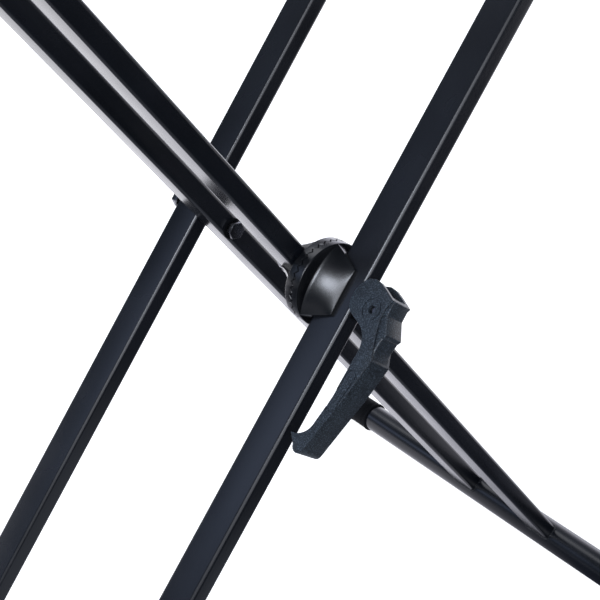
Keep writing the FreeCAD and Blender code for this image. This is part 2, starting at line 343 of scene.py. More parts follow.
def put(tree, value, socket):
    """Links a wire to a socket, or sets a plain value on it."""
    if isinstance(value, Wire):
        tree.links.new(value.socket, socket)
    else:
        socket.default_value = value


class Shades:
    """Builds one material's nodes."""

    def __init__(self, tree):
        self.tree = tree
        tree.nodes.clear()

    def node(self, kind, settings=None, inputs=None, output=0):
        made = self.tree.nodes.new(kind)
        for key, value in (settings or {}).items():
            if key == "stops":
                for stop, (place, colour) in zip(made.color_ramp.elements, value[:2]):
                    stop.position = place
                    stop.color = colour
                for place, colour in value[2:]:
                    made.color_ramp.elements.new(place).color = colour
            else:
                setattr(made, key, value)
        for key, value in (inputs or {}).items():
            put(self.tree, value, made.inputs[key])
        return Wire(self.tree, made.outputs[output]) if made.outputs else None

    def place(self, scale=(1.0, 1.0, 1.0)):
        """Object coordinates, stretched about the stand's origin."""
        spot = self.node("ShaderNodeTexCoord", output="Object")
        return self.node("ShaderNodeMapping", inputs={"Vector": spot, "Scale": scale})

    def noise(self, scale, detail=2.0, roughness=0.5, where=None):
        return self.node("ShaderNodeTexNoise", inputs={
            "Vector": where or self.place(), "Scale": scale, "Detail": detail, "Roughness": roughness})

    def cells(self, scale):
        return self.node("ShaderNodeTexVoronoi", {"feature": "F1"}, {
            "Vector": self.place(), "Scale": scale})

    def band(self, value, low, high, start=0.0, end=1.0):
        """Value mapped from one span to another and held at its ends."""
        return self.node("ShaderNodeMapRange", {"clamp": True}, {
            "Value": value, "From Min": low, "From Max": high, "To Min": start, "To Max": end})

    def mix(self, factor, first, second):
        return self.node("ShaderNodeMix", {"data_type": "RGBA"}, {0: factor, 6: first, 7: second}, output=2)

    def bump(self, height, distance, strength):
        return self.node("ShaderNodeBump", inputs={
            "Height": height, "Distance": distance, "Strength": strength})

    def facing(self, way, toward):
        """Cosine of the angle between a direction and a fixed one."""
        return self.node("ShaderNodeVectorMath", {"operation": "DOT_PRODUCT"}, {0: way, 1: toward},
                         output="Value")


def surface(name, varied, uniform):
    """A material whose varied inputs come from nodes and whose uniform ones are plain numbers."""
    material = bpy.data.materials.new(name)
    material.use_nodes = True
    shades = Shades(material.node_tree)
    inputs = dict(uniform)
    inputs.update(varied(shades))
    shader = shades.node("ShaderNodeBsdfPrincipled", inputs=inputs)
    shades.node("ShaderNodeOutputMaterial", inputs={"Surface": shader})
    return material


def rgba(colour, factor=1.0):
    return (colour[0] * factor, colour[1] * factor, colour[2] * factor, 1.0)


def frame_paint():
    """Satin black powder coat: faint orange peel, slight cloudiness, dust in the grain."""
    look = bpy.context.scene.stand_finish
    rough = look.paint_roughness

    def varied(s):
        cloud = s.noise(14.0, 3.0)
        peel = s.noise(260.0, 1.0)
        speck = s.band(s.noise(2600.0, 2.0), 0.62, 0.75)
        tone = s.mix(s.band(cloud, 0.35, 0.65), rgba(look.paint, 0.8), rgba(look.paint, 1.2))
        return {"Base Color": s.mix(speck * 0.25, tone, rgba(look.paint, 3.0)),
                "Roughness": s.band(cloud, 0.3, 0.7, rough * 0.85, rough * 1.15),
                "Normal": s.bump(peel, 0.02 * MM, 0.035)}

    return surface("frame_paint", varied, {"IOR": 1.5})


def casting_paint():
    """Semi gloss paint over a sand grained die casting."""
    look = bpy.context.scene.stand_finish

    def varied(s):
        cloud = s.noise(40.0, 3.0)
        grain = s.noise(2400.0, 2.0, 0.6)
        tone = s.mix(s.band(cloud, 0.35, 0.65), rgba(look.casting, 0.8), rgba(look.casting, 1.25))
        return {"Base Color": s.mix(s.band(grain, 0.6, 0.8) * 0.4, tone, rgba(look.casting, 3.0)),
                "Roughness": s.band(cloud, 0.3, 0.7, 0.22, 0.27),
                "Normal": s.bump(grain, 0.035 * MM, 0.5)}

    return surface("casting_paint", varied, {"IOR": 1.5})


def lever_plastic():
    """Grained black plastic with pale specks caught on the grain."""
    look = bpy.context.scene.stand_finish

    def varied(s):
        grain = s.noise(900.0, 2.0, 0.6)
        cloud = s.noise(60.0, 2.0)
        speck = s.band(s.noise(1150.0, 2.0, 0.7), 0.52, 0.6)
        tone = s.mix(s.band(cloud, 0.3, 0.7), rgba(look.lever, 0.5), rgba(look.lever, 0.8))
        return {"Base Color": s.mix(speck * 0.8, tone, rgba(look.lever, 3.4)),
                "Roughness": s.band(grain, 0.3, 0.7, 0.3, 0.44),
                "Normal": s.bump(grain, 0.16 * MM, 0.8)}

    return surface("lever_plastic", varied, {"IOR": 1.4})


def rubber(name, colour, pores, depth):
    """Matt rubber with fine pores and dusty patches."""
    def varied(s):
        dust = s.noise(55.0, 4.0, 0.6)
        pore = s.cells(pores)
        tone = s.mix(s.band(dust, 0.45, 0.75) * 0.5, rgba(colour), rgba(colour, 2.2))
        return {"Base Color": tone,
                "Roughness": s.band(dust, 0.3, 0.7, 0.62, 0.8),
                "Normal": s.bump(pore, depth, 0.6)}

    return surface(name, varied, {"IOR": 1.5, "Specular IOR Level": 0.1})


def bare_metal(name, colour, roughness, tint):
    """Plated or blackened steel with fine turning marks and stains."""
    def varied(s):
        marks = s.noise(500.0, 3.0, 0.6, s.place(scale=(1.0, 14.0, 1.0)))
        stain = s.noise(90.0, 3.0)
        tone = s.mix(s.band(stain, 0.35, 0.7), rgba(colour), rgba(colour, tint))
        return {"Base Color": tone,
                "Roughness": s.band(marks, 0.3, 0.7, roughness * 0.8, roughness * 1.25),
                "Normal": s.bump(marks, 0.02 * MM, 0.4)}

    return surface(name, varied, {"Metallic": 1.0})


MATERIALS = {}


def material(name):
    """Each finish is made once, when the first piece asks for it."""
    look = bpy.context.scene.stand_finish
    makers = {
        "paint": frame_paint,
        "casting": casting_paint,
        "lever": lever_plastic,
        "cap": lambda: rubber("cap_rubber", look.rubber, 900.0, 0.05 * MM),
        "sleeve": lambda: rubber("sleeve_foam", look.foam, 1100.0, 0.25 * MM),
        "black_steel": lambda: bare_metal("black_steel", look.black_steel, 0.24, 1.5),
        "zinc": lambda: bare_metal("zinc_steel", look.zinc, 0.26, 0.8),
        "nylon": lambda: rubber("black_nylon", look.rubber, 2500.0, 0.01 * MM),
    }
    if name not in MATERIALS:
        MATERIALS[name] = makers[name]()
    return MATERIALS[name]


# ------------------------------------------------------------------ settings
class StandFinish(bpy.types.PropertyGroup):
    """Colours and finish of the stand."""
    paint: FloatVectorProperty(name="Frame paint", description="Powder coat of tubes", subtype="COLOR",
                               size=3, default=(0.0042, 0.0052, 0.0078))
    paint_roughness: FloatProperty(name="Paint roughness", description="Roughness under the gloss",
                                   default=0.25, min=0.0, max=1.0)
    casting: FloatVectorProperty(name="Casting paint", description="Paint of the clutch castings",
                                 subtype="COLOR", size=3, default=(0.0025, 0.003, 0.0042))
    lever: FloatVectorProperty(name="Lever plastic", description="Plastic of the cam lever",
                               subtype="COLOR", size=3, default=(0.020, 0.026, 0.033))
    rubber: FloatVectorProperty(name="Cap rubber", description="Rubber of the end caps",
                                subtype="COLOR", size=3, default=(0.002, 0.0024, 0.0034))
    foam: FloatVectorProperty(name="Sleeve foam", description="Foam rubber of the arm sleeves",
                              subtype="COLOR", size=3, default=(0.006, 0.0065, 0.0075))
    black_steel: FloatVectorProperty(name="Black steel", description="Blackened bolts and nuts",
                                     subtype="COLOR", size=3, default=(0.09, 0.092, 0.1))
    zinc: FloatVectorProperty(name="Zinc plate", description="Plated draw bolt and pad",
                              subtype="COLOR", size=3, default=(0.62, 0.63, 0.65))


class StandSizes(bpy.types.PropertyGroup):
    """Sizes of what the solids leave plain."""
    teeth: IntProperty(name="Teeth", description="Teeth round each clutch ring", default=36, min=12)
    tooth_height: FloatProperty(name="Tooth height", description="Height of a clutch tooth at the rim",
                                default=3.0 * MM, unit="LENGTH")
    tooth_gap: FloatProperty(name="Tooth gap", description="Gap between the closed teeth",
                             default=0.5 * MM, unit="LENGTH")
    bead: FloatProperty(name="Weld bead", description="Radius of a weld bead", default=1.5 * MM,
                        unit="LENGTH")


# ------------------------------------------------------------------ frames
def leg_section(node):
    """Middle plane, half width and depth of a leg's tube."""
    low, high = span(node, 1)
    depth = LEG_DEPTH[node.split("_")[0]] + EXTRA_DEPTH.get(node, 0.0)
    return (low + high) / 2, (high - low) / 2, depth


def leg_mesh(lean, node):
    """Rectangular tube between its two round tubes, ends cut to their curve."""
    middle, half, depth = leg_section(node)
    side = node.split("_")[0]
    ends = sorted((lean.distance(side + "_foot_tube"), lean.distance(side + "_arm_tube")))
    outer = rounded_rectangle(half, depth / 2, CORNER, 8)
    inner = rounded_rectangle(half - LEG_WALL, depth / 2 - LEG_WALL, LEG_INNER_CORNER, 8)
    bend = TUBE_R + WELD_GAP

    def loop(points, end, inward):
        return [(end + inward * math.sqrt(bend * bend - z * z), middle + y, z) for y, z in points]

    loops = [loop(outer, ends[0], 1), loop(outer, ends[1], -1), loop(inner, ends[1], -1),
             loop(inner, ends[0], 1)]
    return loops_to_mesh(loops, close_rows=True), middle


def weld_path(lean, node, end_node):
    """Loop of points where a leg meets a round tube, in leg coordinates."""
    middle, half, depth = leg_section(node)
    end = lean.distance(end_node)
    inward = -1 if end > 0 else 1
    points = []
    for y, z in rounded_rectangle(half + WELD_PROUD, depth / 2 + WELD_PROUD, CORNER, 4):
        points.append(Vector((end + inward * math.sqrt(TUBE_R * TUBE_R - z * z), middle + y, z)))
    return points


def bead_tree():
    """Weld ripples: flattened drops stood close together along a path."""
    tree = bpy.data.node_groups.new("weld_ripples", "GeometryNodeTree")
    tree.interface.new_socket("Geometry", in_out="INPUT", socket_type="NodeSocketGeometry")
    for label, kind, value in (("Bead radius", "NodeSocketFloat", 1.5 * MM),
                               ("Spacing", "NodeSocketFloat", 1.3 * MM),
                               ("Seed", "NodeSocketInt", BEAD_SEED)):
        tree.interface.new_socket(label, in_out="INPUT", socket_type=kind).default_value = value
    tree.interface.new_socket("Finish", in_out="INPUT", socket_type="NodeSocketMaterial")
    tree.interface.new_socket("Geometry", in_out="OUTPUT", socket_type="NodeSocketGeometry")
    add = tree.nodes.new
    link = tree.links.new
    given = add("NodeGroupInput")
    result = add("NodeGroupOutput")
    to_curve = add("GeometryNodeMeshToCurve")
    even = add("GeometryNodeResampleCurve")
    even.mode = "LENGTH"
    drop = add("GeometryNodeMeshUVSphere")
    drop.inputs["Segments"].default_value = 12
    drop.inputs["Rings"].default_value = 8
    tangent = add("GeometryNodeInputTangent")
    aim = add("FunctionNodeAlignRotationToVector")
    aim.axis = "Z"
    vary = add("FunctionNodeRandomValue")
    vary.data_type = "FLOAT_VECTOR"
    vary.inputs[0].default_value = (0.9, 0.9, 0.5)
    vary.inputs[1].default_value = (1.05, 1.05, 0.62)
    stand = add("GeometryNodeInstanceOnPoints")
    real = add("GeometryNodeRealizeInstances")
    shade = add("GeometryNodeSetMaterial")
    link(given.outputs["Geometry"], to_curve.inputs["Mesh"])
    link(to_curve.outputs["Curve"], even.inputs["Curve"])
    link(given.outputs["Spacing"], even.inputs["Length"])
    link(given.outputs["Bead radius"], drop.inputs["Radius"])
    link(given.outputs["Seed"], vary.inputs["Seed"])
    link(tangent.outputs["Tangent"], aim.inputs["Vector"])
    link(even.outputs["Curve"], stand.inputs["Points"])
    link(drop.outputs["Mesh"], stand.inputs["Instance"])
    link(aim.outputs["Rotation"], stand.inputs["Rotation"])
    link(vary.outputs[0], stand.inputs["Scale"])
    link(stand.outputs["Instances"], real.inputs["Geometry"])
    link(real.outputs["Geometry"], shade.inputs["Geometry"])
    link(given.outputs["Finish"], shade.inputs["Material"])
    link(shade.outputs["Geometry"], result.inputs["Geometry"])
    return tree


def beads(name, lean, paths, body):
    """Weld beads along several closed paths of one frame, as one plain mesh."""
    sizes = bpy.context.scene.stand_sizes
    verts = []
    edges = []
    for path in paths:
        first = len(verts)
        verts += path
        edges += [(first + i, first + (i + 1) % len(path)) for i in range(len(path))]
    mesh = bpy.data.meshes.new(name)
    mesh.from_pydata([tuple(v) for v in verts], edges, [])
    mesh.transform(lean.matrix)
    piece = bpy.data.objects.new(name, mesh)
    bpy.context.scene.collection.objects.link(piece)
    ripples = piece.modifiers.new("ripples", "NODES")
    ripples.node_group = bead_tree()
    keys = {item.name: item.identifier for item in ripples.node_group.interface.items_tree
            if item.in_out == "INPUT"}
    ripples[keys["Bead radius"]] = sizes.bead
    ripples[keys["Spacing"]] = sizes.bead * BEAD_SPACING
    ripples[keys["Seed"]] = BEAD_SEED
    ripples[keys["Finish"]] = material("paint")
    bake(piece)
    piece.data.shade_smooth()
    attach(piece, body)


class STAND_OT_frames(bpy.types.Operator):
    """Builds the legs, the round tubes and the welds that join them"""
    bl_idname = "stand.frames"
    bl_label = "Frames"

    def execute(self, context):
        bores = {"outer_leg_near": BORE, "outer_leg_far": BORE, "inner_leg_near": BUSH_BORE,
                 "inner_leg_far": SHOULDER_BORE}
        for side, lean in (("outer", OUTER), ("inner", INNER)):
            body = side + "_frame"
            paths = []
            for which in ("near", "far"):
                node = side + "_leg_" + which
                mesh, middle = leg_mesh(lean, node)
                hole = rod_mesh(bores[node], middle - LEG_HOLE_REACH, middle + LEG_HOLE_REACH)
                finished(node + "_tube", mesh, lean.matrix, material("paint"), body, [node],
                         cutters=[hole])
                for end in ("foot", "arm"):
                    paths.append(weld_path(lean, node, side + "_" + end + "_tube"))
            for end in ("foot", "arm"):
                node = side + "_" + end + "_tube"
                low, high = span(node, 1)
                inner_r = TUBE_R - TUBE_WALL
                x = lean.distance(node)
                tube = turned([(low, TUBE_R), (high, TUBE_R), (high, inner_r), (low, inner_r)], x)
                finished(node + "_round", tube, lean.matrix, material("paint"), body, [node])
            beads(side + "_welds", lean, paths, body)
        return {"FINISHED"}


# ------------------------------------------------------------------ rubber
def cap_profile(mouth, end, tube_end, outward):
    """Half section of an end cap from its mouth over its lip and rim to the end's centre."""
    wall = TUBE_R + RUBBER_FIT + CAP_WALL
    proud = wall + CAP_LIP
    bore = TUBE_R + RUBBER_FIT
    soft = CAP_LIP_ROUND
    shape = [(0.0, bore), (0.0, proud - soft), (soft * 0.3, proud - soft * 0.3), (soft, proud),
             (CAP_LIP_WIDTH - soft * 0.6, proud), (CAP_LIP_WIDTH, proud - soft * 0.6),
             (CAP_LIP_WIDTH, wall)]
    length = abs(end - mouth)
    for past_lip in CAP_GROOVES_AT:
        at = CAP_LIP_WIDTH + past_lip
        shape += [(at, wall), (at + CAP_GROOVE, wall - CAP_GROOVE), (at + 2 * CAP_GROOVE, wall)]
    rim_start = length - 2 * CAP_LIP_WIDTH
    shape += [(rim_start, wall), (rim_start, proud - soft), (rim_start + soft, proud)]
    edge = CAP_END_ROUND
    for i in range(7):
        angle = math.radians(90 * i / 6)
        shape.append((length - edge + edge * math.sin(angle), proud - edge + edge * math.cos(angle)))
    shape += [(length, wall * 0.55), (length - CAP_DISH, wall * 0.5), (length - CAP_DISH, 0.0)]
    inner_end = abs(tube_end - mouth)
    shape += [(inner_end, 0.0), (inner_end, bore)]
    return [(mouth + outward * at, radius) for at, radius in shape]


class STAND_OT_caps(bpy.types.Operator):
    """Builds the rubber caps on the foot and arm tubes"""
    bl_idname = "stand.caps"
    bl_label = "End caps"

    def execute(self, context):
        for side, lean in (("outer", OUTER), ("inner", INNER)):
            for end in ("foot", "arm"):
                tube_low, tube_high = span(side + "_" + end + "_tube", 1)
                for which, outward in (("near", -1), ("far", 1)):
                    node = "_".join((side, end, "cap", which))
                    low, high = span(node, 1)
                    mouth, tip = (high, low) if outward < 0 else (low, high)
                    tube_end = tube_low if outward < 0 else tube_high
                    shape = cap_profile(mouth, tip, tube_end, outward)
                    mesh = turned(shape, lean.distance(side + "_" + end + "_tube"), steps=96)
                    piece = finished(node + "_rubber", mesh, lean.matrix, material("cap"),
                                     side + "_frame", [node], smooth=35)
                    if end == "foot":
                        for vert in piece.data.vertices:
                            vert.co.z = max(vert.co.z, 0.0)
        return {"FINISHED"}


class STAND_OT_sleeves(bpy.types.Operator):
    """Builds the foam rubber sleeves that the keyboard rests on"""
    bl_idname = "stand.sleeves"
    bl_label = "Arm sleeves"

    def execute(self, context):
        for side, lean in (("outer", OUTER), ("inner", INNER)):
            for which in ("near", "far"):
                node = side + "_arm_sleeve_" + which
                low, high = span(node, 1)
                box_low, box_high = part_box(node)
                outer_r = (box_high.z - box_low.z) / 2
                inner_r = TUBE_R + RUBBER_FIT
                soft = SLEEVE_ROUND
                shape = [(low, inner_r), (low, outer_r - soft)]
                for centre, first in ((low + soft, 180), (high - soft, 90)):
                    for i in range(6):
                        angle = math.radians(first - 90 * i / 5)
                        shape.append((centre + soft * math.cos(angle),
                                      outer_r - soft + soft * math.sin(angle)))
                shape += [(high, outer_r - soft), (high, inner_r)]
                mesh = turned(shape, lean.distance(side + "_arm_tube"), steps=96)
                finished(node + "_foam", mesh, lean.matrix, material("sleeve"), side + "_frame", [node])
        return {"FINISHED"}


# ------------------------------------------------------------------ clutch
def along_three(values, t):
    """Smooth run through three values at t = 0, 0.5 and 1."""
    first, middle, last = values
    return first * (1 - t) * (1 - 2 * t) + middle * 4 * t * (1 - t) + last * t * (2 * t - 1)


def ear_mesh(face_y, up, sign):
    """One ear: domed outer face, flat inner face beside the leg, slanted ends."""
    seat = EAR_SEAT_Z
    across = 40
    rising = 20
    rows = []
    for share in (0.0, 0.1, 0.3, 0.6):
        flare = 1 - math.sqrt(1 - (1 - share) ** 2)
        rows.append((share * EAR_FILLET / EAR_RISE, -flare * EAR_FILLET))
    rows += [(j / rising, 0.0) for j in range(2, rising + 1)]
    loops = []
    for t, inset in rows:
        half = EAR_HALF[0] + (EAR_HALF[1] - EAR_HALF[0]) * t
        reach = along_three(EAR_REACH, t)
        sag = along_three(EAR_SAG, t)
        y = face_y + up * EAR_RISE * t
        outer = []
        for i in range(across + 1):
            u = -1 + 2 * i / across
            outer.append((u * half, y, sign * (reach - sag * u * u - inset * (1 - u * u))))
        loops.append(outer + [(half, y, sign * seat), (-half, y, sign * seat)])
    return loops_to_mesh(loops, cap_ends=True)


def toothed_disc(back_y, mid_y, bore, phase):
    """Disc whose rim ends in face teeth on the middle plane, recessed inside the ring of teeth."""
    sizes = bpy.context.scene.stand_sizes
    up = 1 if mid_y > back_y else -1
    per_tooth = 8
    steps = sizes.teeth * per_tooth
    angles = [2 * math.pi * i / steps for i in range(steps)]
    half_height = sizes.tooth_height / 2
    chamfer_r = DISC_R - TOOTH_CHAMFER

    def zigzag(i):
        share = (i / per_tooth + phase) % 1.0
        wave = 4 * abs(share - 0.5) - 1
        return max(-TOOTH_LAND, min(TOOTH_LAND, wave)) * half_height

    rows = [(bore, lambda i: back_y)]
    for step in range(5):
        angle = math.radians(90 * step / 4)
        drop = DISC_EDGE * (1 - math.cos(angle))
        radius = DISC_R - DISC_EDGE + DISC_EDGE * math.sin(angle)
        rows.append((radius, lambda i, drop=drop: back_y + up * drop))
    tip = mid_y - up * sizes.tooth_gap / 2
    rows.append((DISC_R, lambda i: tip + zigzag(i) - up * TOOTH_CHAMFER))
    rows.append((chamfer_r, lambda i: tip + zigzag(i) * chamfer_r / DISC_R))
    rows.append((RING_INNER, lambda i: tip + zigzag(i) * RING_INNER / DISC_R))
    floor = mid_y - up * RING_RECESS
    rows.append((RING_INNER, lambda i: floor))
    rows.append((bore, lambda i: floor))
    loops = []
    for radius, height in rows:
        loops.append([(radius * math.cos(angle), height(i), radius * math.sin(angle))
                      for i, angle in enumerate(angles)])
    return loops_to_mesh(loops, close_rows=True)


def saddle_mesh(leg_y, disc_y):
    """Block under the leg between the two ears."""
    seat = EAR_SEAT_Z + SADDLE_OVERLAP
    half = EAR_HALF[0] - SADDLE_INSET
    corners = [(-half, -seat), (half, -seat), (half, seat), (-half, seat)]
    return loops_to_mesh([[(x, leg_y, z) for x, z in corners], [(x, disc_y, z) for x, z in corners]],
                         cap_ends=True)


class STAND_OT_clutch(bpy.types.Operator):
    """Builds the two clutch castings with their meshed teeth and their ears"""
    bl_idname = "stand.clutch"
    bl_label = "Clutch"

    def execute(self, context):
        middle = disc_middle()
        for side, lean, up, bore, leg_y in (("outer", OUTER, -1, BORE, CLUTCH_BACK),
                                            ("inner", INNER, 1, BUSH_BORE, CLUTCH_FRONT)):
            back = middle + up * DISC_THICKNESS
            ears = joined([ear_mesh(back, up, 1), ear_mesh(back, up, -1)])
            node = "clutch_casting_" + side
            body = side + "_frame"
            turn = math.degrees(math.atan2(lean.along.z, lean.along.x))
            phase = turn / 360 * context.scene.stand_sizes.teeth
            disc = toothed_disc(back, middle, bore, phase)
            hole = rod_mesh(bore, leg_y - SADDLE_HOLE_REACH, leg_y + SADDLE_HOLE_REACH)
            finished(node + "_disc", disc, lean.matrix, material("casting"), body, [node],
                     smooth=24)
            finished(node + "_ears", ears, lean.matrix, material("casting"), body, [node],
                     smooth=40, bevel=CASTING_EDGE)
            finished(node + "_saddle", saddle_mesh(leg_y, back), lean.matrix, material("casting"), body,
                     [node], cutters=[hole])
        return {"FINISHED"}


def disc_middle():
    """Plane where the two rings of teeth meet."""
    outer_tip = span("clutch_casting_outer", 1)[0] + EAR_HEIGHT
    return outer_tip + DISC_THICKNESS


# ------------------------------------------------------------------ lever
CHEEK_HALF = 11.0 * MM
CORE_HALF = 7.8 * MM
BULGE_HALF = 9.2 * MM
FORK_HALF = 5.2 * MM
LIP_HALF = 5.5 * MM
PIN_R = 3.05 * MM
PIN_HOLE = (-8.5 * MM, 20.0 * MM)
KNOCK_OUT_R = 1.8 * MM
KNOCK_OUT_REACH = 20.0 * MM
CAM_R = 16.47 * MM
CAM_CENTRE = (-2.4 * MM, 0.88 * MM)
CUT_REACH = 2 * CAM_R
FORK_EYE_R = 10.0 * MM
FORK_SIDE = 4.8 * MM
# Start, end and radius of the ring and of the long oval engraved in each side face.
GROOVES = (((0.0, 0.0), (0.01 * MM, 0.0), 7.3 * MM),
           ((-47.0 * MM, -12.3 * MM), (-72.0 * MM, -9.6 * MM), 3.6 * MM))
GROOVE_WIDTH = 0.9 * MM
GROOVE_DEPTH = 0.6 * MM
LEVER_EDGE = 0.6 * MM
REST_EDGE = 0.5 * MM
LEDGE_EDGE = 1.1 * MM


def in_mm(points):
    return [(x * MM, y * MM) for x, y in points]


def lever_outline():
    """Side view of the lever round its pin, x along the leg and y toward it."""
    crown = arc_points((18.4, 14.9), (8.0, 21.3), (-5.4, 20.4), 14)
    neck = arc_points((-13.4, 3.4), (-19.4, -3.6), (-29.0, -6.9), 12)
    hook = arc_points((-91.0, -3.0), (-98.8, 1.9), (-103.1, 11.6), 8)
    nose = arc_points((-109.4, 4.6), (-113.6, -1.6), (-108.6, -6.3), 8)
    ridge = [(-78.2, -12.8), (-60.4, -16.8), (-43.6, -19.4), (-31.2, -21.5), (-23.9, -17.9),
             (-14.2, -14.0), (-4.3, -10.8), (5.5, -10.2), (12.6, -13.0)]
    fork = [(16.9, -3.1), (19.3, 3.4), (20.0, 9.6)]
    return in_mm(crown + [(-8.9, 16.6)] + neck + [(-49.6, -6.5), (-69.0, -6.2)] + hook + nose + ridge + fork)


def head_outline():
    """Finger rest between the fork and the ledge."""
    return in_mm([(12.7, -13.3), (1.5, -13.6), (-10.5, -21.1), (-13.4, -19.6), (-16.0, -10.0),
                  (8.0, -6.0)])


def ledge_outline():
    """Raised ledge that the finger pulls on."""
    return in_mm([(-12.9, -19.7), (-18.7, -19.0), (-23.5, -18.6), (-31.3, -21.3), (-36.5, -20.2),
                  (-28.0, -10.0), (-14.0, -10.0)])


def lip_outline():
    """Floor of the fork, under the draw bolt's eye."""
    return in_mm([(12.5, -12.9), (13.7, -7.4), (13.5, -6.0), (9.8, -5.2), (0.5, -9.9), (0.5, -12.9)])


def room_outline():
    """Room cut out between the cheeks, on the leg's side of the cam."""
    steps = 40
    angles = [math.radians(180 - 180 * i / steps) for i in range(steps + 1)]
    cam = [(CAM_CENTRE[0] + CAM_R * math.cos(angle), CAM_CENTRE[1] + CAM_R * math.sin(angle))
           for angle in angles]
    return cam + [(CAM_CENTRE[0] + CAM_R, -CUT_REACH), (CUT_REACH, -CUT_REACH), (CUT_REACH, CUT_REACH),
                  (-CUT_REACH, CUT_REACH), (-CUT_REACH, CAM_CENTRE[1])]


def slot_outline():
    """Slot of the fork, round the draw bolt's eye."""
    angles = [math.radians(degrees) for degrees in range(118, 271, 6)]
    eye = [(FORK_EYE_R * math.cos(angle), FORK_EYE_R * math.sin(angle)) for angle in angles]
    return eye + [(0.0, -FORK_EYE_R), (CUT_REACH, -FORK_EYE_R), (CUT_REACH, CUT_REACH),
                  (-FORK_SIDE, CUT_REACH)]


def stadium(start, end, radius):
    """Closed outline at one distance round a line."""
    way = math.atan2(end[1] - start[1], end[0] - start[0])
    points = []
    for centre, first in ((start, way + math.pi / 2), (end, way - math.pi / 2)):
        for i in range(13):
            angle = first + math.pi * i / 12
            points.append((centre[0] + radius * math.cos(angle), centre[1] + radius * math.sin(angle)))
    return points


def groove_mesh(start, end, radius, top):
    """Cutter for a shallow groove round a line in the lever's side face."""
    inner = stadium(start, end, radius)
    outer = stadium(start, end, radius + GROOVE_WIDTH)
    floor = top - GROOVE_DEPTH
    above = top + GROOVE_DEPTH
    return loops_to_mesh([[(x, y, floor) for x, y in outer], [(x, y, above) for x, y in outer],
                          [(x, y, above) for x, y in inner], [(x, y, floor) for x, y in inner]],
                         close_rows=True)


def slab_mesh(outline, half):
    return loops_to_mesh([[(x, y, -half) for x, y in outline], [(x, y, half) for x, y in outline]],
                         cap_ends=True)


class STAND_OT_lever(bpy.types.Operator):
    """Builds the cam lever with its fork, finger bulges and hooked grip"""
    bl_idname = "stand.lever"
    bl_label = "Cam lever"

    def execute(self, context):
        pin = Vector(joint("lever_open")["pos_m"])
        place = OUTER.matrix @ Matrix.Translation(Vector((0, pin.y, 0)))
        whole = slab_mesh(lever_outline(), CHEEK_HALF)
        room = slab_mesh(room_outline(), CORE_HALF)
        slot = slab_mesh(slot_outline(), FORK_HALF)
        hole = rod_mesh(PIN_R, *PIN_HOLE)
        knock = rod_mesh(KNOCK_OUT_R, -KNOCK_OUT_REACH, KNOCK_OUT_REACH, steps=32)
        for rod in (hole, knock):
            rod.transform(Matrix.Rotation(math.radians(90), 4, "X"))
        grooves = [groove_mesh(start, end, radius, top)
                   for top in (CHEEK_HALF, -CHEEK_HALF) for start, end, radius in GROOVES]
        plastic = material("lever")
        finished("cam_lever_body", whole, place, plastic, "lever", ["cam_lever"],
                 smooth=32, bevel=LEVER_EDGE, cutters=[room, slot], engraved=[hole, knock] + grooves)
        finished("cam_lever_finger_rest", slab_mesh(head_outline(), BULGE_HALF), place, plastic,
                 "lever", ["cam_lever"], bevel=REST_EDGE)
        finished("cam_lever_ledge", slab_mesh(ledge_outline(), BULGE_HALF), place, plastic, "lever",
                 ["cam_lever"], smooth=40, bevel=LEDGE_EDGE)
        finished("cam_lever_fork_floor", slab_mesh(lip_outline(), LIP_HALF), place, plastic, "lever",
                 ["cam_lever"])
        return {"FINISHED"}


# ------------------------------------------------------------------ fasteners
def softened(node, body):
    """A solid's own mesh, merged, with its sharp edges eased."""
    source = frame["nodes"][node].data.copy()
    tidy = bmesh.new()
    tidy.from_mesh(source)
    bmesh.ops.remove_doubles(tidy, verts=tidy.verts, dist=SOLID_MERGE_DISTANCE)
    bmesh.ops.dissolve_limit(tidy, angle_limit=math.radians(1.0), verts=tidy.verts, edges=tidy.edges)
    tidy.to_mesh(source)
    tidy.free()
    finished(node + "_steel", source, Matrix.Identity(4), material("black_steel"), body, [node],
             bevel=FASTENER_EDGE)


class STAND_OT_fasteners(bpy.types.Operator):
    """Builds the bolts, nuts, washers, pins and bushes of the two pivots"""
    bl_idname = "stand.fasteners"
    bl_label = "Fasteners"

    def execute(self, context):
        for node, body in (("far_pivot_bolt", "outer_frame"), ("far_pivot_nut", "outer_frame"),
                           ("draw_nut", "clutch_release")):
            softened(node, body)
        plain = {"black_steel": ("far_pivot_washer", "draw_washer", "lever_pin"),
                 "zinc": ("draw_bolt", "release_spring"),
                 "nylon": ("far_pivot_collar", "near_pivot_bush", "far_pivot_bush", "cam_pad")}
        for finish, nodes in plain.items():
            for node in nodes:
                for spot in frame["nodes"][node].material_slots:
                    spot.material = material(finish)
        return {"FINISHED"}


# ------------------------------------------------------------------ studio
# Each soft panel of the room that only reflections see: direction, tightness and colour.
SOFT_PANELS = (
    ((-0.72, 0.58, 0.39), 80.0, (1.0, 1.2, 1.75)),
    ((0.0, 0.58, 0.81), 12.0, (0.75, 0.8, 0.95)),
    ((-0.66, -0.45, 0.52), 40.0, (1.6, 1.65, 1.8)),
    ((0.85, 0.5, 0.1), 8.0, (2.3, 2.3, 2.6)))
